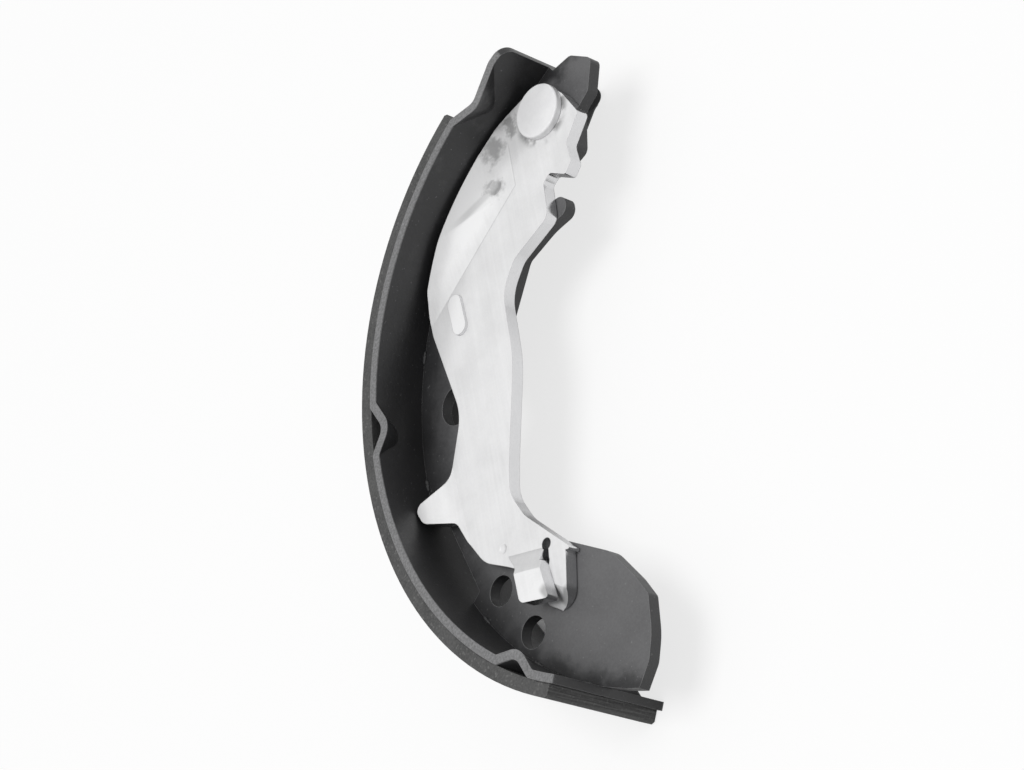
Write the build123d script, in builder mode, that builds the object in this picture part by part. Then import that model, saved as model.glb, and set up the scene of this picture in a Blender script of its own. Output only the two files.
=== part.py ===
"""Drum brake shoe with its parking-brake lever: a T-section of pressed steel sheet that carries
a bonded friction lining, and a plated lever that turns on a pin riveted through the web.

Millimetres, +Z along the drum's axis, on the side that carries the lever, and +Y towards the
toe, where the pin is. The origin is the centre of the hold-down hole, halfway through the web.
Outlines are drawn about the drum's axis. A point of theirs is an angle from +X and a depth under
the table's inner face, so that all of it follows the drum that the shoe is made for."""

import os
from math import cos, hypot, radians, sin, tan

from build123d import *

# Drum, and the layers that follow it inwards
DRUM_D = 203.0
LINING_GAP = 0.2
LINING_T = 3.8
TABLE_T = 2.3
LINING_OUT_R = DRUM_D / 2 - LINING_GAP
TABLE_OUT_R = LINING_OUT_R - LINING_T
TABLE_IN_R = TABLE_OUT_R - TABLE_T

# Widths along the drum's axis, and how far the table's middle lies behind the web's
WEB_T = 3.6
TABLE_W = 39.0
LINING_W = 38.0
TABLE_SET_BACK = 0.9
WEB_FRONT = WEB_T / 2
WEB_BACK = -WEB_T / 2
TABLE_BACK = -TABLE_SET_BACK - TABLE_W / 2
LINING_BACK = -TABLE_SET_BACK - LINING_W / 2

# Where each layer starts at the toe and ends at the heel, in degrees from +X
TAB_END_ANGLE = 105.2
TAB_BEND_ANGLE = 115.0
LINING_TOE_ANGLE = 120.1
LINING_HEEL_ANGLE = 239.9
TABLE_HEEL_ANGLE = 240.7
WEB_HEEL_ANGLE = 248.5
TAB_CORNER_R = 4.0
LINING_CHAMFER = 0.8

# Pads pressed into both edges of the table: angle, depth, and reach towards the toe and the heel
PADS = [(115.4, 4.2, 11.0, 9.0), (174.0, 4.8, 8.0, 6.5), (231.6, 3.8, 7.0, 6.5)]
PAD_FADE = 8.5
PAD_NOSE_R = 4.0
PAD_SHOULDER_R = 6.0
PAD_TRIM = 2.0

# Holes and reliefs in the web, each place an angle and a depth
HOLD_DOWN = (169.4, 14.0)
HOLD_DOWN_R = 5.7
SPRING_HOLE = (151.0, 22.3)
SPRING_HOLE_R = 3.1
OUTER_HEEL_HOLE = (210.2, 8.6)
OUTER_HEEL_HOLE_R = 4.2
INNER_HEEL_HOLE = (221.9, 6.3)
INNER_HEEL_HOLE_R = 4.4
TOE_RELIEF = [(128.0, -2), (137.5, -2), (135.5, 6), (130.0, 6)]
SIDE_RELIEF = [(187.5, -2), (206.5, -2), (206.0, 3.5), (188.0, 3.5)]
RELIEF_CORNER_R = 1.2

# Pivot pin, riveted in the web, and the lever that turns on it
PIVOT = (109.5, 12.5)
PIN_R = 5.0
PIN_RUNNING = 0.05
PIN_HEAD_R = 7.7
PIN_HEAD_T = 2.0
PIN_HEAD_EDGE_R = 0.5
PIN_TAIL_R = 6.4
PIN_TAIL_T = 1.1
PIN_TAIL_CHAMFER = 0.7
LEVER_T = 3.9
LEVER_GAP = 0.2
HEAD_GAP = 0.1
LEVER_BACK = WEB_FRONT + LEVER_GAP
LEVER_FRONT = LEVER_BACK + LEVER_T

# Heights that stretches of the lever's sheet are pressed forwards
LOBE_LIFT = 2.4
STOP_LIFT = 3.3
HOOK_LIFT = 4.0
PIP_LIFT = 1.0

# Small forms of the lever
DIMPLE = (126.1, 14.0)
DIMPLE_BALL_R = 4.5
DENT = (207.6, 18.5)
DENT_BALL_R = 3.0
DENT_DEPTH = 0.35
PIP_ENDS = [(150.0, 14.5), (154.6, 18.3)]
PIP_W = 5.0
HOOK_SLOT = [(217.8, 28.2), (220.3, 25.1)]
HOOK_SLOT_W = 1.2
HOOK_ROOT_R = 1.6
HOOK_CORNER = (209.9, 18.3)


def at(angle, depth):
    """Point at an angle about the drum's axis and a depth under the table's inner face."""
    r = TABLE_IN_R - depth
    return Vector(r * cos(radians(angle)), r * sin(radians(angle)))


def level(z):
    """Plane at height z whose own centre is the drum's axis."""
    return Plane((-at(*HOLD_DOWN).X, -at(*HOLD_DOWN).Y, z))


def spot(place, z):
    """Plane at height z, centred on a place in the web or the lever."""
    return Plane(at(*place) - at(*HOLD_DOWN) + Vector(0, 0, z))


def outline(corners):
    """Closed line through corners given as angle, depth and corner radius."""
    radii = [radius for _, _, radius in corners]
    FilletPolyline(*[at(angle, depth) for angle, depth, _ in corners], radius=radii, close=True)


def tab_line(r):
    """Ends of the straight tab, on the layer whose rolled part has radius r: bend, then tip."""
    out = Vector(cos(radians(TAB_BEND_ANGLE)), sin(radians(TAB_BEND_ANGLE)))
    length = TABLE_IN_R * tan(radians(TAB_BEND_ANGLE - TAB_END_ANGLE))
    return out * r, out * r + out.rotate(Axis.Z, -90) * length


# Web: a flat plate that fills the table's curve, from the hooked toe to the heel
WEB_CORNERS = [
    (104.8, 0.5, 0),
    (100.7, 1.3, 2.5),
    (96.8, 7.4, 2.2),
    (99.9, 15.8, 1.5),
    (103.8, 17.8, 3),
    (108.1, 28.3, 2.5),
    (114.5, 27.8, 8),
    (121.5, 19.4, 0.8),
    (126.6, 28.4, 0.8),
    (118.0, 34.2, 2.6),
    (120.8, 39.0, 2.6),
    (127.9, 35.3, 20),
    (137.3, 30.7, 3),
    (172.1, 23.3, 3),
    (173.3, 20.1, 3),
    (184.7, 16.5, 40),
    (199.4, 19.0, 6),
    (234.4, 33.4, 8),
    (244.2, 27.9, 10),
    (248.4, 23.6, 2),
    (250.2, 13.9, 20),
    (250.1, 6.7, 5),
]
WEB_HOLES = [
    (HOLD_DOWN, HOLD_DOWN_R),
    (SPRING_HOLE, SPRING_HOLE_R),
    (OUTER_HEEL_HOLE, OUTER_HEEL_HOLE_R),
    (INNER_HEEL_HOLE, INNER_HEEL_HOLE_R),
    (PIVOT, PIN_R),
]

with BuildPart() as web:
    with BuildSketch(level(WEB_BACK)):
        with BuildLine():
            bend, tip = tab_line(TABLE_IN_R)
            inner_side = [at(angle, depth) for angle, depth, _ in WEB_CORNERS]
            inner_radii = [radius for _, _, radius in WEB_CORNERS]
            FilletPolyline(tip, *inner_side, at(WEB_HEEL_ANGLE, 0), radius=inner_radii)
            CenterArc((0, 0), TABLE_IN_R, TAB_BEND_ANGLE, WEB_HEEL_ANGLE - TAB_BEND_ANGLE)
            Line(bend, tip)
        make_face()
        for relief in (TOE_RELIEF, SIDE_RELIEF):
            with BuildLine():
                outline([(angle, depth, RELIEF_CORNER_R) for angle, depth in relief])
            make_face(mode=Mode.SUBTRACT)
        for place, radius in WEB_HOLES:
            with Locations(at(*place)):
                Circle(radius, mode=Mode.SUBTRACT)
    extrude(amount=WEB_T)


# Table: sheet rolled around the web, straight at the toe, with pads pressed into its edges
def pad_plane(pad, side):
    """Plane across a pad's die, which lies slanting in the table's edge on one side.

    The lowest line of its nose is the pad's depth under the outer face at the edge and comes level
    with that face PAD_FADE further in. The plane stands a sheet's thickness before the edge."""
    angle, depth, _, _ = pad
    out = Vector(cos(radians(angle)), sin(radians(angle)))
    inwards = (out * depth - Vector(0, 0, side * PAD_FADE)).normalized()
    upwards = (out * PAD_FADE + Vector(0, 0, side * depth)).normalized()
    edge = level(-TABLE_SET_BACK + side * TABLE_W / 2).origin + out * (TABLE_OUT_R - depth)
    return Plane(edge - inwards * TABLE_T, x_dir=upwards.cross(inwards), z_dir=inwards)


def die_line(pad, side):
    """Line round a pad's die: a blunt nose whose flanks turn out over the face by round shoulders.
    It gives back where the shoulders are."""
    _, depth, toe_reach, heel_reach = pad
    left, right = (-toe_reach, heel_reach) if side > 0 else (-heel_reach, toe_reach)
    rise = depth * PAD_FADE / hypot(depth, PAD_FADE)
    top = rise + PAD_SHOULDER_R
    low, high = left - PAD_SHOULDER_R, right + PAD_SHOULDER_R
    corners = [(low, top), (low, rise), (left, rise), (0, 0), (right, rise), (high, rise), (high, top)]
    radii = [0, 0, PAD_SHOULDER_R, PAD_NOSE_R, PAD_SHOULDER_R, 0, 0]
    FilletPolyline(*corners, radius=radii, close=True)
    return left, right


SIDED_PADS = [(pad, side) for pad in PADS for side in (1, -1)]
PAD_REACH = 3 * PAD_FADE

with BuildPart() as pad_sheet:
    for pad, side in SIDED_PADS:
        with BuildSketch(pad_plane(pad, side)):
            with BuildLine():
                left, right = die_line(pad, side)
            make_face()
            offset(amount=TABLE_T)
            with Locations(((left + right) / 2, 0)):
                Rectangle(right - left + 2 * PAD_TRIM, 2 * PAD_REACH, mode=Mode.INTERSECT)
        extrude(amount=PAD_REACH)
    with BuildSketch(level(TABLE_BACK)):
        Circle(TABLE_OUT_R)
    extrude(amount=TABLE_W, mode=Mode.INTERSECT)

with BuildPart() as table:
    with BuildSketch(level(TABLE_BACK)):
        with BuildLine():
            inner_bend, inner_tip = tab_line(TABLE_IN_R)
            outer_bend, outer_tip = tab_line(TABLE_OUT_R)
            for radius in (TABLE_IN_R, TABLE_OUT_R):
                CenterArc((0, 0), radius, TAB_BEND_ANGLE, TABLE_HEEL_ANGLE - TAB_BEND_ANGLE)
            Polyline(inner_bend, inner_tip, outer_tip, outer_bend)
            Line(at(TABLE_HEEL_ANGLE, 0), at(TABLE_HEEL_ANGLE, -TABLE_T))
        make_face()
    extrude(amount=TABLE_W)
    fillet(edges().filter_by(Axis(inner_tip, outer_tip - inner_tip)), TAB_CORNER_R)
    add(pad_sheet.part)
    for pad, side in SIDED_PADS:
        with BuildSketch(pad_plane(pad, side)):
            with BuildLine():
                die_line(pad, side)
            make_face()
        extrude(amount=PAD_REACH, mode=Mode.SUBTRACT)

# Lining: one moulded segment bonded to the table's outer face
with BuildPart() as lining:
    with BuildSketch(level(LINING_BACK)):
        with BuildLine():
            for radius in (TABLE_OUT_R, LINING_OUT_R):
                CenterArc((0, 0), radius, LINING_TOE_ANGLE, LINING_HEEL_ANGLE - LINING_TOE_ANGLE)
            for angle in (LINING_TOE_ANGLE, LINING_HEEL_ANGLE):
                Line(at(angle, -TABLE_T), at(angle, -TABLE_T - LINING_T))
        make_face()
    extrude(amount=LINING_W)
    end_edges = edges().filter_by(Axis.Z).sort_by(lambda edge: edge.distance_to(level(0).origin))
    chamfer(end_edges[-2:], LINING_CHAMFER)

# Parking lever: plated sheet steel, with stretches pressed forwards to clear shoe and cable
LEVER_CORNERS = [
    (106.5, 3.8, 7),
    (103.7, 13.6, 7),
    (102.1, 22.9, 1.2),
    (108.3, 27.6, 2.5),
    (109.6, 33.6, 1.4),
    (112.9, 35.0, 1.2),
    (116.0, 29.5, 1.2),
    (118.8, 29.7, 1.5),
    (124.3, 38.1, 3.5),
    (138.0, 32.7, 6),
    (146.4, 32.0, 12),
    (164.7, 40.2, 40),
    (191.2, 33.6, 50),
    (199.0, 29.0, 10),
    (207.0, 29.2, 14),
    (228.2, 30.8, 0.6),
    (224.2, 29.9, 0.8),
    (220.3, 25.1, 0),
    (228.1, 17.6, 0.8),
    (221.6, 12.5, 2.2),
    (215.5, 18.7, 2),
    (210.8, 16.0, 3),
    (205.7, 11.7, 10),
    (199.2, 10.6, 12),
    (194.4, 10.2, 3),
    (190.5, 1.2, 3.5),
    (187.0, 0.0, 2.5),
    (185.5, 12.2, 5),
    (173.5, 19.7, 14),
    (154.6, 5.6, 20),
    (148.1, 2.6, 7),
    (135.0, 0.5, 93.8),
    (123.6, 1.3, 20),
    (117.1, 0.9, 20),
]
HOOK_STRETCH = [*HOOK_SLOT, (228.1, 17.6), (224.0, 3.0), (216.0, 14.5), (215.4, 18.6), HOOK_CORNER]
TONGUE_CORNERS = [
    (224.0, 30.1, 0),
    (229.8, 18.7, 4.6),
    (224.9, 12.0, 4.6),
    (219.0, 19.0, 1.5),
    (221.6, 23.8, 0),
    (219.7, 27.8, 0),
]
LOBE_CREASES = [((136.3, 17.7), (126.2, 20.0), 0.18), ((123.2, 19.7), (117.6, 6.1), 0.085)]
STOP_CREASES = [((197.5, 11.9), (180.0, 13.7), 0.22)]
HOOK_CREASES = [((216.1, 25.6), HOOK_CORNER, 0.6)]
PIP_CREASES = [((148.0, 13.0), (146.5, 18.0), 0.14)]
TONGUE_CREASE = ((222.7, 20.5), (228.3, 21.1), 0.65)

with BuildSketch() as lever_face:
    with BuildLine():
        outline(LEVER_CORNERS)
    make_face()

with BuildSketch() as hook_face:
    with BuildLine():
        Polyline(*[at(*corner) for corner in HOOK_STRETCH], close=True)
    make_face()
    add(lever_face.sketch, mode=Mode.INTERSECT)

with BuildSketch() as pip_face:
    with BuildLine() as pip_line:
        Line(*[at(*end) for end in PIP_ENDS])
    SlotArc(pip_line.edge(), PIP_W)


def ramp(crease, z):
    """Plane that leaves the flat at height z along a crease and rises to the crease's left."""
    start, end, slope = crease
    along = (at(*end) - at(*start)).normalized()
    uphill = along.rotate(Axis.Z, 90)
    return Plane(level(z).origin + at(*start), x_dir=along, z_dir=Vector(0, 0, 1) - uphill * slope)


def pressed(face, z, lift, creases):
    """Room between the flat at height z and the surface that it becomes when it is pressed."""
    with BuildPart() as room:
        with BuildSketch(level(z)):
            add(face.sketch)
        extrude(amount=lift)
        for crease in creases:
            split(bisect_by=ramp(crease, z), keep=Keep.BOTTOM)
    return room.part


STRETCHES = [
    (lever_face, LOBE_LIFT, LOBE_CREASES),
    (lever_face, STOP_LIFT, STOP_CREASES),
    (hook_face, HOOK_LIFT, HOOK_CREASES),
    (pip_face, PIP_LIFT, PIP_CREASES),
]
gained_in_front = [pressed(face, LEVER_FRONT, *rest) for face, *rest in STRETCHES]
left_behind = [pressed(face, LEVER_BACK, *rest) for face, *rest in STRETCHES]

with BuildPart() as tongue:
    with BuildSketch(level(LEVER_BACK)):
        with BuildLine():
            outline(TONGUE_CORNERS)
        make_face()
    extrude(amount=LEVER_T)
    split(bisect_by=ramp(TONGUE_CREASE, LEVER_FRONT), keep=Keep.BOTTOM)

with BuildPart() as parking_lever:
    with BuildSketch(level(LEVER_BACK)):
        add(lever_face.sketch)
    extrude(amount=LEVER_T)
    add(gained_in_front)
    add(left_behind, mode=Mode.SUBTRACT)
    with BuildSketch(level(LEVER_BACK)):
        with Locations(at(*PIVOT)):
            Circle(PIN_R + PIN_RUNNING)
        with Locations(at(*HOOK_SLOT[0])):
            Circle(HOOK_ROOT_R)
        with BuildLine() as slot_line:
            Line(*[at(*end) for end in HOOK_SLOT])
        SlotArc(slot_line.edge(), HOOK_SLOT_W)
    extrude(amount=LEVER_T + HOOK_LIFT, mode=Mode.SUBTRACT)
    with Locations(spot(DIMPLE, LEVER_FRONT + DIMPLE_BALL_R)):
        Sphere(DIMPLE_BALL_R, mode=Mode.SUBTRACT)
    with Locations(spot(DENT, LEVER_FRONT + DENT_BALL_R - DENT_DEPTH)):
        Sphere(DENT_BALL_R, mode=Mode.SUBTRACT)
    add(tongue.part)

# Pivot pin: flat head over the lever, shank through both plates, tail peened behind the web
HEAD_BACK = LEVER_FRONT + HEAD_GAP

with BuildPart() as pivot_pin:
    with BuildSketch(spot(PIVOT, WEB_BACK)):
        Circle(PIN_R)
    extrude(amount=HEAD_BACK - WEB_BACK)
    with BuildSketch(spot(PIVOT, HEAD_BACK)):
        Circle(PIN_HEAD_R)
    extrude(amount=PIN_HEAD_T)
    fillet(faces().sort_by(Axis.Z)[-1].edges(), PIN_HEAD_EDGE_R)
    with BuildSketch(spot(PIVOT, WEB_BACK - PIN_TAIL_T)):
        Circle(PIN_TAIL_R)
    extrude(amount=PIN_TAIL_T)
    chamfer(faces().sort_by(Axis.Z)[0].edges(), PIN_TAIL_CHAMFER)

os.makedirs("parts", exist_ok=True)
PIECES = {
    "web": web,
    "table": table,
    "lining": lining,
    "parking_lever": parking_lever,
    "pivot_pin": pivot_pin,
}
for name, piece in PIECES.items():
    piece.part.label = name
    export_step(piece.part, f"parts/{name}.step")
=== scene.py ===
import math

import bpy
import numpy as np
from mathutils import Matrix, Vector


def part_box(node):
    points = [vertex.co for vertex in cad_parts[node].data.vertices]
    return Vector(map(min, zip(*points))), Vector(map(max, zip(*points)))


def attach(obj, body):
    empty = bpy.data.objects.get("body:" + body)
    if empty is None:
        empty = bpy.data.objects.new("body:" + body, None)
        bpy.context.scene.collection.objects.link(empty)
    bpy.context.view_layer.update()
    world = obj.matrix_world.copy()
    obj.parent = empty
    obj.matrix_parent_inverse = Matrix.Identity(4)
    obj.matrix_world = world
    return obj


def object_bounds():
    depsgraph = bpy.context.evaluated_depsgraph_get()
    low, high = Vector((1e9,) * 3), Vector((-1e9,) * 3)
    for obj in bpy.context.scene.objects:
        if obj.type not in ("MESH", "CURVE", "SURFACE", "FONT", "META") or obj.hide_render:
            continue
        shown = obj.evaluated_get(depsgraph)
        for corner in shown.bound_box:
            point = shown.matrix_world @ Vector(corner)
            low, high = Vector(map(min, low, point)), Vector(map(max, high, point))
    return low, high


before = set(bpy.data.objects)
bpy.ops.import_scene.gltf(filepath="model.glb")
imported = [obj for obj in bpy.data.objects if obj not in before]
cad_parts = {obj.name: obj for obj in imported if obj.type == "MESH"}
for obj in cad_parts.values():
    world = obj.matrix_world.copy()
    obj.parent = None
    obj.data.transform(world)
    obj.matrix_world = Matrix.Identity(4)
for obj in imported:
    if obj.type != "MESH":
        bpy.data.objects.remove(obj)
cad_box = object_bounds()

# Web and table: two stampings of sheet steel. The table is rolled round the web's edge and welded
# to it, and both are dipped together in a smooth black coat. Its colour is painted near black on
# the table and on the web beside the table's inner face, as painted shade of the corner between
# them, and the coat is thin or rubbed away where the sheet was sheared.
COAT_DARK = (0.014, 0.014, 0.015, 1)
COAT_PALE = (0.135, 0.135, 0.138, 1)
COAT_EVEN = 0.56
COAT_MOTTLE = {"Grains": 0.22, "Clouds": 0.22}
COAT_MATT = (0.36, 0.48)
COAT_GLOSS = 0.6
COAT_RUBBED = (0.300, 0.300, 0.304, 1)
COAT_WEAR = {"Edges": 0.8, "Specks": 0.25}
# Painted shade: the web's sheared sides are painted darker than its faces.
WEB_SIDES_PAINTED_SHADE = 0.75
ROUNDED_EDGE = 0.0003
EDGE_LEAVES = (0.025, 0.075)
SIDE_UPWARD = (0.6, 0.3)
GRIT_KINDS = {
    "Cloud": (4, 0.6, 0.3, 0.7),
    "Grain": (5, 0.65, 0.25, 0.75),
    "Speck": (1, 0.4, 0.72, 0.78),
}

DRUM_AXIS = (0.07981, -0.01494)
TABLE_IN_R = 0.0952
TABLE_LOW_Z, TABLE_HIGH_Z = (corner.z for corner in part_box("table"))
TABLE_MID_Z = (TABLE_LOW_Z + TABLE_HIGH_Z) / 2
TABLE_HALF = TABLE_HIGH_Z - TABLE_MID_Z
STRIP_FROM_MID = (TABLE_HALF - 0.0005, TABLE_HALF - 0.0002)
STRIP_RUBBED = (0.3, 0.8)

# Painted shade of the table's hollow: the coat darkens from these radii out to the table's inner
# face, and stays near black on the table.
CORNER_SHADE_WIDE_R = 0.0760
CORNER_SHADE_NARROW_R = 0.0885
CORNER_SHADE_NARROWS = (math.radians(150.0), math.radians(128.0))
CORNER_SHADE_GREY_LEFT = 0.08
CORNER_SHADE_CLOUDS = 170.0
CORNER_SHADE_UNEVEN = 0.012


def set_inputs(tree, node, inputs):
    """Sets a node's sockets, each to a value or to another node's output."""
    for socket, value in inputs.items():
        if isinstance(value, bpy.types.NodeSocket):
            tree.links.new(value, node.inputs[socket])
        else:
            node.inputs[socket].default_value = value


def place_node(tree, kind, inputs=(), **settings):
    """One shader node with its settings; inputs maps a socket to a value or to another output."""
    made = tree.nodes.new(kind)
    for setting, value in settings.items():
        setattr(made, setting, value)
    set_inputs(tree, made, dict(inputs))
    return made


def reckon(tree, operation, *terms):
    """The output of one Math node on one to three numbers or outputs."""
    inputs = dict(enumerate(terms))
    return place_node(tree, "ShaderNodeMath", inputs, operation=operation).outputs[0]


def times(tree, one, other):
    """The product of two numbers or outputs."""
    return reckon(tree, "MULTIPLY", one, other)


def slide(tree, share, one, other):
    """The number that goes from one to other as share goes from 0 to 1."""
    inputs = {"Factor": share, 2: one, 3: other}
    return place_node(tree, "ShaderNodeMix", inputs, data_type="FLOAT").outputs[0]


def blend_colours(tree, share, one, other):
    """The colour that goes from one to other as share goes from 0 to 1."""
    inputs = {"Factor": share, 6: one, 7: other}
    return place_node(tree, "ShaderNodeMix", inputs, data_type="RGBA").outputs[2]


def between(tree, value, low, high):
    """0 at low, 1 at high and a smooth change between them; low may also be the larger."""
    inputs = {"Value": value, "From Min": low, "From Max": high}
    made = place_node(tree, "ShaderNodeMapRange", inputs, interpolation_type="SMOOTHSTEP")
    return made.outputs["Result"]


def weigh(tree, outputs, weights, start=0.0):
    """start plus each named output times the weight of that name."""
    for name, weight in weights.items():
        start = reckon(tree, "MULTIPLY_ADD", outputs[name], weight, start)
    return start


def strongest(tree, mask, outputs, weights):
    """The largest of mask and each named output times the weight of that name."""
    for name, weight in weights.items():
        mask = reckon(tree, "MAXIMUM", mask, times(tree, outputs[name], weight))
    return mask


def noise(tree, vector, scale, detail, rough=0.5):
    """Cloudy noise from 0 to 1 with scale cells to the metre."""
    inputs = {"Vector": vector, "Scale": scale, "Detail": detail, "Roughness": rough}
    return place_node(tree, "ShaderNodeTexNoise", inputs).outputs[0]


def swing(tree, value):
    """A value from 0 to 1 made to swing about nothing, from -0.5 to 0.5."""
    return reckon(tree, "SUBTRACT", value, 0.5)


def relief(tree, height, **inputs):
    """The normal of a surface with this uneven height."""
    return place_node(tree, "ShaderNodeBump", {"Height": height} | inputs).outputs[0]


def from_axis(tree, axis):
    """A point's x and y from an upright axis, its height, and its distance from that axis."""
    coords = place_node(tree, "ShaderNodeTexCoord").outputs["Object"]
    inputs = {"Vector": coords, "Location": (-axis[0], -axis[1], 0)}
    moved = place_node(tree, "ShaderNodeMapping", inputs).outputs[0]
    x, y, z = place_node(tree, "ShaderNodeSeparateXYZ", {0: moved}).outputs
    return x, y, z, reckon(tree, "SQRT", reckon(tree, "MULTIPLY_ADD", x, x, times(tree, y, y)))


def place_on_drum(tree):
    """The drum's own radius, angle and height of a point."""
    x, y, height, radius = from_axis(tree, DRUM_AXIS)
    return radius, reckon(tree, "ARCTAN2", y, x), height


def start_group(name, takes, gives):
    """An empty shader group whose sockets are given as name and kind, with its two end nodes."""
    tree = bpy.data.node_groups.new(name, "ShaderNodeTree")
    for side, sockets in (("INPUT", takes), ("OUTPUT", gives)):
        for socket, kind in sockets.items():
            tree.interface.new_socket(socket, in_out=side, socket_type="NodeSocket" + kind)
    return tree, tree.nodes.new("NodeGroupInput"), tree.nodes.new("NodeGroupOutput")


def make_edge_wear():
    """Group that finds a stamping's edges: how far the normal, averaged over Width, leaves the
    face's own, broken up by noise. It also gives that averaged normal, which rounds the edge."""
    takes = {"Width": "Float", "Breaks": "Float"}
    gives = {"Mask": "Float", "Normal": "Vector"}
    tree, entry, result = start_group("edge_wear", takes, gives)
    rounded = place_node(tree, "ShaderNodeBevel", {"Radius": entry.outputs["Width"]}, samples=8)
    own = place_node(tree, "ShaderNodeNewGeometry").outputs["Normal"]
    inputs = {0: rounded.outputs[0], 1: own}
    turned = place_node(tree, "ShaderNodeVectorMath", inputs, operation="DOT_PRODUCT")
    leaving = reckon(tree, "SUBTRACT", 1.0, turned.outputs["Value"])
    where = place_node(tree, "ShaderNodeTexCoord").outputs["Object"]
    broken = times(tree, noise(tree, where, entry.outputs["Breaks"], 4), leaving)
    inputs = {"Mask": between(tree, broken, *EDGE_LEAVES), "Normal": rounded.outputs[0]}
    set_inputs(tree, result, inputs)
    return tree


def make_grit():
    """Group for the two scales of unevenness that every surface here has: broad Clouds and fine
    Grains, both from 0 to 1, and Specks, which is 1 in a few small spots of dust. A kind is its
    noise's detail and roughness, and the two values of the noise between which it rises."""
    takes = {kind + " Scale": "Float" for kind in GRIT_KINDS}
    gives = {kind + "s": "Float" for kind in GRIT_KINDS}
    tree, entry, result = start_group("grit", takes, gives)
    where = place_node(tree, "ShaderNodeTexCoord").outputs["Object"]
    for kind, (detail, rough, low, high) in GRIT_KINDS.items():
        cells = noise(tree, where, entry.outputs[kind + " Scale"], detail, rough)
        set_inputs(tree, result, {kind + "s": between(tree, cells, low, high)})
    return tree


def make_sides():
    """Group whose Mask is 1 on the sheared sides of a sheet and 0 on its faces, told by how little
    the normal points along the drum's axis."""
    tree, _, result = start_group("sheared_sides", {}, {"Mask": "Float"})
    normal = place_node(tree, "ShaderNodeTexCoord").outputs["Normal"]
    upward = place_node(tree, "ShaderNodeSeparateXYZ", {0: normal}).outputs["Z"]
    sides = between(tree, reckon(tree, "ABSOLUTE", upward), *SIDE_UPWARD)
    set_inputs(tree, result, {"Mask": sides})
    return tree


EDGE_WEAR = make_edge_wear()
GRIT = make_grit()
SHEARED_SIDES = make_sides()


def use_group(tree, group, **inputs):
    """A group's outputs, with underscores standing for the spaces in its inputs' names."""
    made = tree.nodes.new("ShaderNodeGroup")
    made.node_tree = group
    set_inputs(tree, made, {name.replace("_", " "): value for name, value in inputs.items()})
    return made.outputs


def start_finish(name):
    """A material with its node tree and its Principled shader."""
    made = bpy.data.materials.new(name)
    made.use_nodes = True
    return made, made.node_tree, made.node_tree.nodes["Principled BSDF"]


def finish_piece(obj, finish):
    """Gives a piece or a CAD node its one finish."""
    obj.data.materials.clear()
    obj.data.materials.append(finish)


def coat_sheet(name, strips, side_shade):
    """The coat: clouds and grain from black to grey, pitted by a fine bump, and rubbed pale along
    edges and on the table's long sheared strips. Painted shade darkens the table and the web near
    the table's inner face; it reaches wide in the middle of the shoe and narrow at its ends, with
    an uneven rim.
    strips is 1 where strips show, else 0, and side_shade is how much darker the sheared sides are
    painted, as painted shade."""
    finish, tree, shader = start_finish(name)
    grit = use_group(tree, GRIT, Cloud_Scale=38.0, Grain_Scale=1500.0, Speck_Scale=1300.0)
    edge = use_group(tree, EDGE_WEAR, Width=ROUNDED_EDGE, Breaks=420.0)
    radius, angle, height = place_on_drum(tree)
    coords = place_node(tree, "ShaderNodeTexCoord").outputs["Object"]
    # Painted shade towards the table's inner face, with a cloudy, uneven rim.
    shade_rim = swing(tree, noise(tree, coords, CORNER_SHADE_CLOUDS, 4, 0.6))
    shade_radius = reckon(tree, "MULTIPLY_ADD", shade_rim, CORNER_SHADE_UNEVEN, radius)
    wide = between(tree, shade_radius, TABLE_IN_R, CORNER_SHADE_WIDE_R)
    narrow = between(tree, shade_radius, TABLE_IN_R, CORNER_SHADE_NARROW_R)
    near_end = between(tree, reckon(tree, "ABSOLUTE", angle), *CORNER_SHADE_NARROWS)
    clear = slide(tree, near_end, wide, narrow)
    mixed = weigh(tree, grit, COAT_MOTTLE, COAT_EVEN)
    mixed = times(tree, mixed, slide(tree, clear, CORNER_SHADE_GREY_LEFT, 1.0))
    # Painted shade on the sheared sides.
    side = use_group(tree, SHEARED_SIDES)["Mask"]
    mixed = times(tree, mixed, slide(tree, side, 1.0, 1.0 - side_shade))
    colour = blend_colours(tree, mixed, COAT_DARK, COAT_PALE)
    from_mid = reckon(tree, "ABSOLUTE", reckon(tree, "SUBTRACT", height, TABLE_MID_Z))
    strip = times(tree, between(tree, from_mid, *STRIP_FROM_MID), strips)
    rubbed = times(tree, strip, slide(tree, grit["Grains"], *STRIP_RUBBED))
    worn = {"Edges": edge["Mask"], "Specks": grit["Specks"]}
    rubbed = strongest(tree, rubbed, worn, COAT_WEAR)
    pits = {"Distance": 0.00004, "Strength": 0.5, "Normal": edge["Normal"]}
    inputs = {
        "Base Color": blend_colours(tree, rubbed, colour, COAT_RUBBED),
        "Roughness": slide(tree, grit["Grains"], *COAT_MATT),
        "Specular IOR Level": COAT_GLOSS,
        "Normal": relief(tree, grit["Grains"], **pits),
    }
    set_inputs(tree, shader, inputs)
    return finish


coated_web = coat_sheet("coated_web", 0.0, WEB_SIDES_PAINTED_SHADE)
finish_piece(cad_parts["web"], coated_web)
finish_piece(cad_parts["table"], coat_sheet("coated_table", 1.0, 0.0))

# Welds: where the web's edge was projection-welded to the table, a little metal was squeezed out of
# the corner on both sides of the web. These dabs went through the same coat as the sheet.
WEB_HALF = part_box("web")[1].z
WELD_ANGLES = (143.0, 158.8, 181.5, 211.0, 226.0, 237.5)
WELD_ANGLE_SPREAD = 0.25
WELD_HALF_LENGTH = 0.0021
WELD_HEIGHT = 0.00075
WELD_HEIGHT_RANGE = (0.75, 1.1)
WELD_WAVES = 9
WELD_WAVE_SHARE = 0.12
WELD_RINGS = 15
WELD_RING_POINTS = 14
WELD_LAST_RING = 0.97
WELD_SEED = 7


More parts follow.
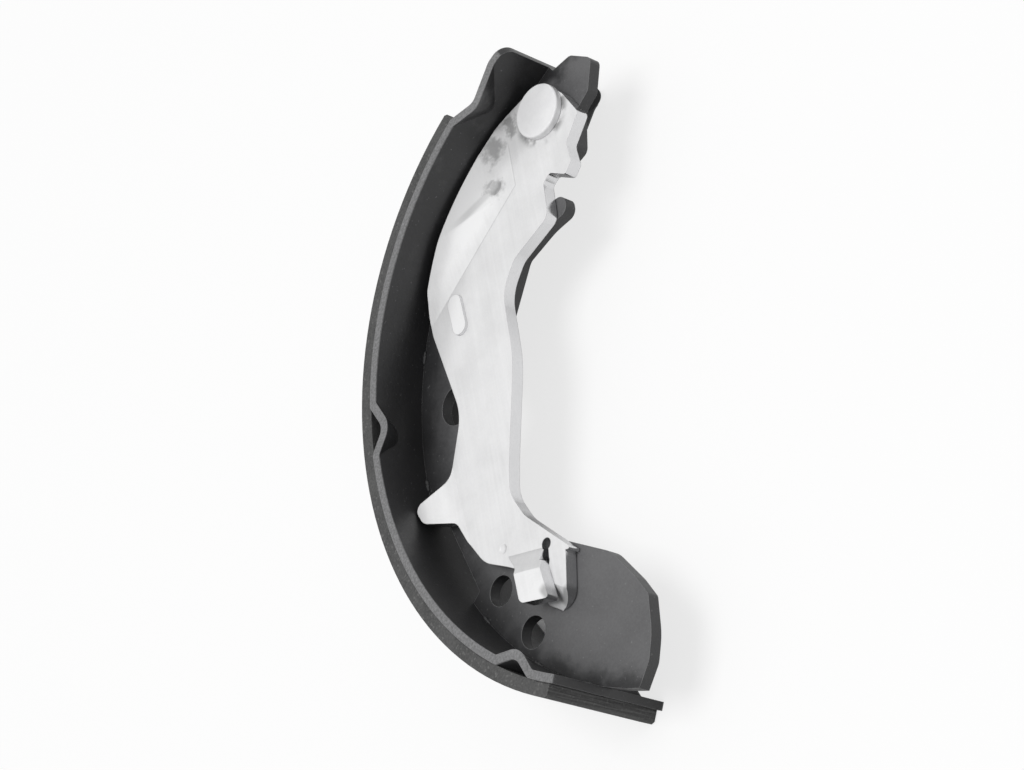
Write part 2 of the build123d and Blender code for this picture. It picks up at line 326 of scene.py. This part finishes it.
def on_drum(angle, radius, z):
    """Points at angles in degrees and radii about the drum's axis, as x, y and z in one array."""
    turned = np.radians(angle)
    x = DRUM_AXIS[0] + radius * np.cos(turned)
    y = DRUM_AXIS[1] + radius * np.sin(turned)
    return np.stack(np.broadcast_arrays(x, y, z), axis=-1)


def closed_tubes(name, rings, first, last):
    """One mesh of closed tubes. rings holds points as tube, ring and place round the ring; first
    and last hold each tube's two end points, to which its end rings close in triangles."""
    tubes, count, around, _ = rings.shape
    points = np.concatenate([rings.reshape(-1, 3), first, last])
    start = np.arange(tubes)[:, None, None] * count * around
    ring = np.arange(count - 1)[None, :, None] * around
    here = np.arange(around)
    after = (here + 1) % around
    low = start + ring + here
    high = start + ring + after
    quads = np.stack([low, high, high + around, low + around], axis=-1).reshape(-1, 4)
    tip = tubes * count * around + np.arange(tubes)[:, None]
    base = np.arange(tubes)[:, None] * count * around
    end_base = base + (count - 1) * around
    fan = np.stack(np.broadcast_arrays(tip, base + after, base + here), axis=-1)
    end_fan = np.broadcast_arrays(tip + tubes, end_base + here, end_base + after)
    fans = np.concatenate([fan.reshape(-1, 3), np.stack(end_fan, axis=-1).reshape(-1, 3)])
    mesh = bpy.data.meshes.new(name)
    mesh.from_pydata(points.tolist(), [], quads.tolist() + fans.tolist())
    mesh.polygons.foreach_set("use_smooth", [True] * len(mesh.polygons))
    mesh.update()
    obj = bpy.data.objects.new(name, mesh)
    bpy.context.scene.collection.objects.link(obj)
    return obj


def squeeze_welds():
    """Each dab is an uneven ball drawn out along the corner of web and table: its half width is
    the height times the root of 1 minus the share of its half length squared, with slight waves."""
    draw = np.random.default_rng(WELD_SEED)
    angle = np.repeat(WELD_ANGLES, 2)
    angle = angle + draw.normal(0, WELD_ANGLE_SPREAD, len(angle))
    side = np.tile([1, -1], len(WELD_ANGLES))
    height = WELD_HEIGHT * draw.uniform(*WELD_HEIGHT_RANGE, len(angle))
    share = np.linspace(-WELD_LAST_RING, WELD_LAST_RING, WELD_RINGS)
    round_ring = np.linspace(0, 2 * np.pi, WELD_RING_POINTS, endpoint=False)
    half = height[:, None] * np.sqrt(1 - share**2)
    half = half * (1 + WELD_WAVE_SHARE * np.sin(share * WELD_WAVES + angle[:, None]))
    spread = np.degrees(WELD_HALF_LENGTH / TABLE_IN_R)
    along = (angle[:, None] + share * spread)[:, :, None]
    in_radius = TABLE_IN_R - half[:, :, None] * np.cos(round_ring)
    out_z = side[:, None, None] * WEB_HALF + half[:, :, None] * np.sin(round_ring)
    ends = [on_drum(angle + way * spread, TABLE_IN_R, side * WEB_HALF) for way in (-1, 1)]
    return closed_tubes("weld_dabs", on_drum(along, in_radius, out_z), *ends)


weld_dabs = squeeze_welds()
# The dabs sit in that corner, so the coat's painted shade darkens them too.
finish_piece(weld_dabs, coated_web)
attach(weld_dabs, "shoe")

# Lining: one segment of moulded friction material, bonded to the table and ground to the drum's
# curve. It is matt grey, full of paler and darker crumbs, with fine grinding lines on its face, and
# its cut ends show the layers in which it was pressed.
LINING_DARK = (0.026, 0.026, 0.026, 1)
LINING_PALE = (0.115, 0.115, 0.114, 1)
LINING_MOTTLE = {"Grains": 0.45, "Cells": 0.3, "Clouds": 0.25, "Lines": 0.7, "Layers": 2.6}
LINING_MATT = (0.55, 0.70)
CRUMB = (0.23, 0.23, 0.225, 1)
CRUMB_SHARE = 0.3
CRUMB_CELLS = 1900.0
CRUMB_BRIGHTNESS = (0.93, 0.97)
LINING_WEAR = {"Specks": 1.0, "Edges": 0.4}
LINING_OUT_R = 0.1013
FACE_R = (LINING_OUT_R - 0.0003, LINING_OUT_R - 0.0001)
GRINDING_LINES = 1900.0
GRINDING_SWEEP = 0.004
LINING_END = math.radians(120.1)
END_TURNS = (LINING_END + 0.004, LINING_END + 0.001)
LAYERS = 2100.0
LAYER_SWEEP = 0.03
PALE_LAYERS = (0.52, 0.66)


def mould_lining():
    """Crumbs from cells with a random brightness each, and lines along the drum's sweep: noise on
    the radius and the height, drawn out along the angle, shown only near the outer radius. The
    layers of the two ends are noise on the radius, drawn out along the drum's axis."""
    finish, tree, shader = start_finish("moulded_lining")
    grit = use_group(tree, GRIT, Cloud_Scale=90.0, Grain_Scale=1500.0, Speck_Scale=2200.0)
    edge = use_group(tree, EDGE_WEAR, Width=ROUNDED_EDGE, Breaks=600.0)
    coords = place_node(tree, "ShaderNodeTexCoord").outputs["Object"]
    radius, angle, height = place_on_drum(tree)
    inputs = {0: times(tree, angle, GRINDING_SWEEP), 1: height, 2: radius}
    swept = place_node(tree, "ShaderNodeCombineXYZ", inputs).outputs[0]
    lines = swing(tree, noise(tree, swept, GRINDING_LINES, 2))
    inputs = {0: radius, 1: times(tree, height, LAYER_SWEEP)}
    stacked = place_node(tree, "ShaderNodeCombineXYZ", inputs).outputs[0]
    layers = noise(tree, stacked, LAYERS, 2, 0.6)
    on_end = between(tree, reckon(tree, "ABSOLUTE", angle), *END_TURNS)
    cells = place_node(tree, "ShaderNodeTexVoronoi", {"Vector": coords, "Scale": CRUMB_CELLS})
    shade = place_node(tree, "ShaderNodeSeparateColor", {0: cells.outputs["Color"]}).outputs[0]
    parts = dict(grit.items()) | {
        "Cells": shade,
        "Lines": times(tree, lines, between(tree, radius, *FACE_R)),
        "Layers": times(tree, swing(tree, layers), on_end),
    }
    mixed = weigh(tree, parts, LINING_MOTTLE)
    colour = blend_colours(tree, mixed, LINING_DARK, LINING_PALE)
    worn = {"Specks": grit["Specks"], "Edges": edge["Mask"]}
    crumbs = strongest(tree, between(tree, shade, *CRUMB_BRIGHTNESS), worn, LINING_WEAR)
    pale_layers = between(tree, layers, *PALE_LAYERS)
    crumbs = reckon(tree, "MULTIPLY_ADD", pale_layers, on_end, crumbs)
    crumble = {"Distance": 0.00008, "Strength": 0.6, "Normal": edge["Normal"]}
    inputs = {
        "Base Color": blend_colours(tree, times(tree, crumbs, CRUMB_SHARE), colour, CRUMB),
        "Roughness": slide(tree, shade, *LINING_MATT),
        "Normal": relief(tree, mixed, **crumble),
    }
    set_inputs(tree, shader, inputs)
    return finish


finish_piece(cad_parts["lining"], mould_lining())

# Adhesive: the lining was bonded under heat, and a thin dark bead of the glue was pressed out along
# both of its sides, under the table's edges. It stops where the pads leave the lining.
GLUE = (0.020, 0.019, 0.018, 1)
GLUE_MATT = (0.4, 0.6)
BOND_R = 0.0975
BOND_RUNS = ((122.6, 168.0), (179.2, 226.2), (236.6, 239.5))
BOND_INSET = 0.00002
BEAD_R = 0.00034
BEAD_EVEN = 0.8
BEAD_WAVES = ((0.16, 2.3, 900.0), (0.1, 7.9, 0.0))
BEAD_END = 0.5
BEAD_RINGS = 260
BEAD_RING_POINTS = 8
BEAD_FIRST_RING = 0.06


def press_bead():
    """Six thin tubes along the bond line. Their radius is BEAD_R times slow and quick waves along
    the run, and falls to nothing over its two ends as a circle does. A wave is its share of the
    radius, its turns along the run and its shift from one side of the lining to the other."""
    lining_low, lining_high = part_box("lining")
    runs = np.repeat(BOND_RUNS, 2, axis=0)
    z = np.tile([lining_high.z - BOND_INSET, lining_low.z + BOND_INSET], len(BOND_RUNS))
    turns = np.linspace(BEAD_FIRST_RING, np.pi - BEAD_FIRST_RING, BEAD_RINGS)
    share = (1 - np.cos(turns)) / 2
    along = runs[:, :1] + (runs[:, 1:] - runs[:, :1]) * share
    waves = [size * np.sin(along * turn + z[:, None] * shift) for size, turn, shift in BEAD_WAVES]
    from_end = np.minimum(along - runs[:, :1], runs[:, 1:] - along)
    ended = np.minimum(1, from_end / BEAD_END)
    radius = BEAD_R * (BEAD_EVEN + sum(waves)) * np.sqrt(1 - (1 - ended) ** 2)
    round_ring = np.linspace(0, 2 * np.pi, BEAD_RING_POINTS, endpoint=False)
    out_radius = BOND_R - radius[:, :, None] * np.cos(round_ring)
    out_z = z[:, None, None] + radius[:, :, None] * np.sin(round_ring)
    ends = [on_drum(run_end, BOND_R, z) for run_end in runs.T]
    return closed_tubes("adhesive_bead", on_drum(along[:, :, None], out_radius, out_z), *ends)


def harden_glue():
    """Dark resin, a little glossy, with the grit's clouds in its colour and its grains in its
    gloss."""
    finish, tree, shader = start_finish("hardened_glue")
    grit = use_group(tree, GRIT, Cloud_Scale=300.0, Grain_Scale=1500.0, Speck_Scale=900.0)
    inputs = {
        "Base Color": blend_colours(tree, grit["Clouds"], GLUE, LINING_DARK),
        "Roughness": slide(tree, grit["Grains"], *GLUE_MATT),
        "Normal": relief(tree, grit["Grains"], Distance=0.00004, Strength=0.4),
    }
    set_inputs(tree, shader, inputs)
    return finish


adhesive_bead = press_bead()
finish_piece(adhesive_bead, harden_glue())
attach(adhesive_bead, "shoe")

# Parking lever: thick sheet steel, stamped, pressed and then plated. The faces are pale and satin
# with faint lines along the sheet, and the sheared sides are a little darker and rougher. Dark
# marks are painted round the pin, on the raised lobe, along its creases and at the hook, as painted
# shade and painted reflection of the dark table, and the raised places are painted lighter as a
# painted highlight.
PLATE_DULL = (0.70, 0.70, 0.705, 1)
PLATE_PALE = (0.93, 0.93, 0.935, 1)
PLATE_MOTTLE = {"Clouds": 0.35, "Lines": 0.5, "Grains": 0.15}
PLATE_SHEARED = (0.68, 0.68, 0.69, 1)
SHEARED_SHARE = (0.5, 0.9)
PLATE_METAL = (0.2, 1.0)
PLATE_MATT = (0.18, 0.26)
ROLLING_LINES = (900.0, 22.0, 900.0)
ROLLING_TURN = 0.12
# Painted highlight: raised places of the lever are painted lighter, as if their facets caught more
# light.
RAISED_Z = (0.0060, 0.0070)
RAISED_PAINTED_HIGHLIGHT = 0.45

PIN_LOW, PIN_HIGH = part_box("pivot_pin")
PIN_AXIS = (PIN_LOW + PIN_HIGH).xy / 2
PIN_HEAD_R = (PIN_HIGH - PIN_LOW).x / 2
CREASE_CORNER = (0.03847, 0.04763)
HOOK_LOW = (0.0280, -0.0722)

# Painted shade and painted reflection on the lever: dark marks round the pin, in spots on the lobe,
# along its creases and at the hook.
LEVER_PAINTED_SHADE = (0.16, 0.16, 0.16, 1)
LEVER_SHADE_SHARE = 0.8
PIN_SHADE_REACH = 0.0030
SHADE_CLOUDS = 150.0
SHADE_CLOUD_EDGE = (0.42, 0.58)
SPOT_CLOUDS = 330.0
SPOT_UNEVEN = 0.010
SHADE_SPOTS = (
    {"axis": (0.0315, 0.0508), "reach": 0.0042, "weight": 0.65},
    {"axis": (0.0330, 0.0622), "reach": 0.0056, "weight": 0.75},
    {"axis": (0.0405, 0.0658), "reach": 0.0040, "weight": 0.75},
)
SHADE_STROKES = (
    {"start": CREASE_CORNER, "end": (0.0001, 0.0240), "half": 0.00028, "weight": 0.3},
    {"start": CREASE_CORNER, "end": (0.03853, 0.0660), "half": 0.00028, "weight": 0.3},
    {"start": HOOK_LOW, "end": (0.0258, -0.0680), "half": 0.0019, "weight": 0.7},
    {"start": HOOK_LOW, "end": (0.0330, -0.0700), "half": 0.0019, "weight": 0.7},
    {"start": (0.0300, 0.0503), "end": (0.0130, 0.0460), "half": 0.0018, "weight": 0.3},
)


def draw_spot(tree, uneven, axis, reach, weight):
    """weight in a spot round an upright axis, fading out at its reach; uneven shifts its rim."""
    *_, away = from_axis(tree, axis)
    away = reckon(tree, "MULTIPLY_ADD", uneven, SPOT_UNEVEN, away)
    return times(tree, between(tree, away, reach, reach / 4), weight)


def draw_stroke(tree, coords, start, end, half, weight):
    """weight along a straight mark from start, seen from above, which fades out towards end. Its
    rims are soft over three quarters of the half width."""
    way = Vector(end) - Vector(start)
    turn = (0, 0, math.atan2(way.y, way.x))
    inputs = {"Vector": coords, "Location": (*start, 0), "Rotation": turn}
    along = place_node(tree, "ShaderNodeMapping", inputs, vector_type="TEXTURE").outputs[0]
    x, y, _ = place_node(tree, "ShaderNodeSeparateXYZ", {0: along}).outputs
    near = between(tree, reckon(tree, "ABSOLUTE", y), half, half / 4)
    begun = between(tree, x, -half, 0.0)
    going = between(tree, x, way.length, way.length / 2)
    return times(tree, times(tree, times(tree, begun, near), going), weight)


def paint_lever_shade(tree, coords):
    """Mask of painted shade and painted reflection of the dark table, broken up by clouds: round
    the pin's head, in spots and a stroke on the lobe and in strokes at the hook's low end. Thin
    strokes of painted shade mark the two creases at the lobe."""
    *_, from_pin = from_axis(tree, PIN_AXIS)
    round_pin_shade = between(tree, from_pin, PIN_HEAD_R + PIN_SHADE_REACH, PIN_HEAD_R)
    broken_shade = between(tree, noise(tree, coords, SHADE_CLOUDS, 3, 0.6), *SHADE_CLOUD_EDGE)
    shaded = times(tree, round_pin_shade, broken_shade)
    uneven = swing(tree, noise(tree, coords, SPOT_CLOUDS, 3, 0.6))
    marks = [draw_spot(tree, uneven, **spot) for spot in SHADE_SPOTS]
    marks += [draw_stroke(tree, coords, **stroke) for stroke in SHADE_STROKES]
    for mark in marks:
        shaded = reckon(tree, "MAXIMUM", shaded, mark)
    return times(tree, shaded, LEVER_SHADE_SHARE)


def plate_lever():
    """Satin plating: long thin lines along the lever and broad clouds, painted lighter on raised
    places as a painted highlight, and darker, bare metal on the sheared sides, with painted shade
    and painted reflection of the dark table on top."""
    finish, tree, shader = start_finish("plated_lever")
    grit = use_group(tree, GRIT, Cloud_Scale=70.0, Grain_Scale=1800.0, Speck_Scale=900.0)
    edge = use_group(tree, EDGE_WEAR, Width=ROUNDED_EDGE, Breaks=500.0)
    sheared = use_group(tree, SHEARED_SIDES)["Mask"]
    coords = place_node(tree, "ShaderNodeTexCoord").outputs["Object"]
    inputs = {"Vector": coords, "Scale": ROLLING_LINES, "Rotation": (0, 0, ROLLING_TURN)}
    drawn = place_node(tree, "ShaderNodeMapping", inputs).outputs[0]
    lines = noise(tree, drawn, 1.0, 3, 0.6)
    z = place_node(tree, "ShaderNodeSeparateXYZ", {0: coords}).outputs["Z"]
    mixed = weigh(tree, dict(grit.items()) | {"Lines": lines}, PLATE_MOTTLE)
    # Painted highlight on the raised places.
    raised = between(tree, z, *RAISED_Z)
    highlighted = reckon(tree, "MULTIPLY_ADD", raised, RAISED_PAINTED_HIGHLIGHT, mixed)
    colour = blend_colours(tree, highlighted, PLATE_DULL, PLATE_PALE)
    side = times(tree, sheared, slide(tree, grit["Grains"], *SHEARED_SHARE))
    colour = blend_colours(tree, side, colour, PLATE_SHEARED)
    satin = {"Distance": 0.00002, "Strength": 0.4, "Normal": edge["Normal"]}
    inputs = {
        "Base Color": blend_colours(tree, paint_lever_shade(tree, coords), colour, LEVER_PAINTED_SHADE),
        "Metallic": slide(tree, sheared, *PLATE_METAL),
        "Roughness": slide(tree, lines, *PLATE_MATT),
        "Normal": relief(tree, mixed, **satin),
    }
    set_inputs(tree, shader, inputs)
    return finish


finish_piece(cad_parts["parking_lever"], plate_lever())

# Pivot pin: a turned steel pin with a flat head, its tail peened over behind the web so that it
# holds the lever and lets it turn. The head is bare and slightly mottled, with faint turning rings.
PIN_DULL = (0.82, 0.82, 0.83, 1)
PIN_PALE = (0.93, 0.93, 0.935, 1)
PIN_MOTTLE = {"Clouds": 0.5, "Rings": 0.35, "Grains": 0.15}
PIN_METAL = 0.12
PIN_MATT = (0.18, 0.28)
TURNING_RINGS = 2600.0


def turn_pin():
    """Turning rings are noise on the distance from the pin's axis alone; clouds mottle them."""
    finish, tree, shader = start_finish("turned_pin")
    grit = use_group(tree, GRIT, Cloud_Scale=260.0, Grain_Scale=1500.0, Speck_Scale=900.0)
    edge = use_group(tree, EDGE_WEAR, Width=ROUNDED_EDGE, Breaks=500.0)
    *_, radius = from_axis(tree, PIN_AXIS)
    ring_place = place_node(tree, "ShaderNodeCombineXYZ", {0: radius}).outputs[0]
    rings = noise(tree, ring_place, TURNING_RINGS, 2, 0.6)
    mixed = weigh(tree, dict(grit.items()) | {"Rings": rings}, PIN_MOTTLE)
    turned = {"Distance": 0.00003, "Strength": 0.4, "Normal": edge["Normal"]}
    inputs = {
        "Base Color": blend_colours(tree, mixed, PIN_DULL, PIN_PALE),
        "Metallic": PIN_METAL,
        "Roughness": slide(tree, rings, *PIN_MATT),
        "Normal": relief(tree, mixed, **turned),
    }
    set_inputs(tree, shader, inputs)
    return finish


finish_piece(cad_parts["pivot_pin"], turn_pin())

# Floor and lights: the shoe lies on its table's edge on a white sheet, in a white tent that is
# brightest overhead, under one soft lamp that hangs over it, so that the table's hollow stays dark.
FLOOR_SIDE = 6.0
FLOOR_WHITE = (0.97, 0.97, 0.97, 1)
FLOOR_BOUNCE = (0.30, 0.30, 0.30, 1)
FLOOR_MATT = 0.9
FLOOR_GLOW = 0.75
MIRRORED_GLOW = 0.25
HEEL_SHADE = (-0.0032, -0.0602)
HEEL_SHADE_REACH = (0.0035, 0.0065)
TENT_FILL = 0.5
TENT_LOW = 0.62
LAMP_SIDE = 1.3
LAMP_PLACE = Vector((0.22, -0.14, 2.5))
LAMP_WATTS = 37.0

floor_corners = np.array([(-1, -1), (1, -1), (1, 1), (-1, 1)]) * FLOOR_SIDE / 2
floor_mesh = bpy.data.meshes.new("floor")
floor_mesh.from_pydata([(x, y, cad_box[0].z) for x, y in floor_corners], [], [(0, 1, 2, 3)])
floor = bpy.data.objects.new("floor", floor_mesh)
bpy.context.scene.collection.objects.link(floor)


def sight_rays(tree):
    """Two outputs: 1 for a ray from the camera, and 1 for a ray from a mirror or glass."""
    ways = place_node(tree, "ShaderNodeLightPath").outputs
    mirrored = reckon(tree, "MAXIMUM", ways["Is Glossy Ray"], ways["Is Transmission Ray"])
    return ways["Is Camera Ray"], mirrored


def light_floor():
    """White paper: a diffuse sheet that keeps the shadow, with a glow that the eye sees and
    mirrors see weaker. It throws little light up at the shoe. The glow is left out deep under the
    heel, where the eye meets the sheet through a hole of the web."""
    finish, tree, shader = start_finish("white_floor")
    eye, mirrored = sight_rays(tree)
    seen = reckon(tree, "MAXIMUM", eye, mirrored)
    colour = blend_colours(tree, seen, FLOOR_BOUNCE, FLOOR_WHITE)
    set_inputs(tree, shader, {"Base Color": colour, "Roughness": FLOOR_MATT})
    *_, from_heel = from_axis(tree, HEEL_SHADE)
    open_sheet = between(tree, from_heel, *HEEL_SHADE_REACH)
    glowing = reckon(tree, "MULTIPLY_ADD", mirrored, MIRRORED_GLOW, eye)
    share = times(tree, times(tree, glowing, FLOOR_GLOW), open_sheet)
    glow = place_node(tree, "ShaderNodeEmission", {"Strength": 1.0})
    inputs = {0: share, 1: shader.outputs[0], 2: glow.outputs[0]}
    both = place_node(tree, "ShaderNodeMixShader", inputs)
    set_inputs(tree, tree.nodes["Material Output"], {"Surface": both.outputs[0]})
    return finish


floor_mesh.materials.append(light_floor())


def light_tent():
    """A white world that the eye sees as plain white. Mirrors see it fall from white overhead to
    TENT_LOW at the floor's level, and other surfaces get TENT_FILL of that."""
    tent = bpy.data.worlds.new("white_tent")
    tent.use_nodes = True
    tree = tent.node_tree
    eye, mirrored = sight_rays(tree)
    way = place_node(tree, "ShaderNodeTexCoord").outputs["Generated"]
    upward = place_node(tree, "ShaderNodeSeparateXYZ", {0: way}).outputs["Z"]
    shade = reckon(tree, "MULTIPLY_ADD", upward, 1.0 - TENT_LOW, TENT_LOW)
    lit = times(tree, slide(tree, mirrored, TENT_FILL, 1.0), shade)
    inputs = {"Color": (1, 1, 1, 1), "Strength": reckon(tree, "MAXIMUM", lit, eye)}
    set_inputs(tree, tree.nodes["Background"], inputs)
    return tent


bpy.context.scene.world = light_tent()

lamp_data = bpy.data.lights.new("soft_lamp", "AREA")
lamp_data.size = LAMP_SIDE
lamp_data.energy = LAMP_WATTS
lamp = bpy.data.objects.new("soft_lamp", lamp_data)
lamp.location = LAMP_PLACE
lamp.rotation_euler = (-LAMP_PLACE).to_track_quat("-Z", "Y").to_euler()
lamp.visible_glossy = False
bpy.context.scene.collection.objects.link(lamp)

# Camera: where the photograph was taken from, worked out from the drum's curve in it, with the
# same roll, but turned to this shoe alone and with a longer lens.
EYE = Vector((0.48145, -0.39285, 0.51473))
AIM = Vector((0.01789, -0.00210, -0.00172))
EYE_UP = Vector((0.45129, 0.85839, 0.24391))
LENS = 105.0

camera_data = bpy.data.cameras.new("camera")
camera_data.lens = LENS
camera_data.clip_start = 0.05
camera_data.clip_end = 20.0
camera = bpy.data.objects.new("camera", camera_data)
back = (EYE - AIM).normalized()
right = EYE_UP.cross(back).normalized()
turn = Matrix((right, back.cross(right), back)).transposed()
camera.matrix_world = Matrix.Translation(EYE) @ turn.to_4x4()
bpy.context.scene.collection.objects.link(camera)
bpy.context.scene.camera = camera
bpy.context.scene.view_settings.view_transform = "Standard"
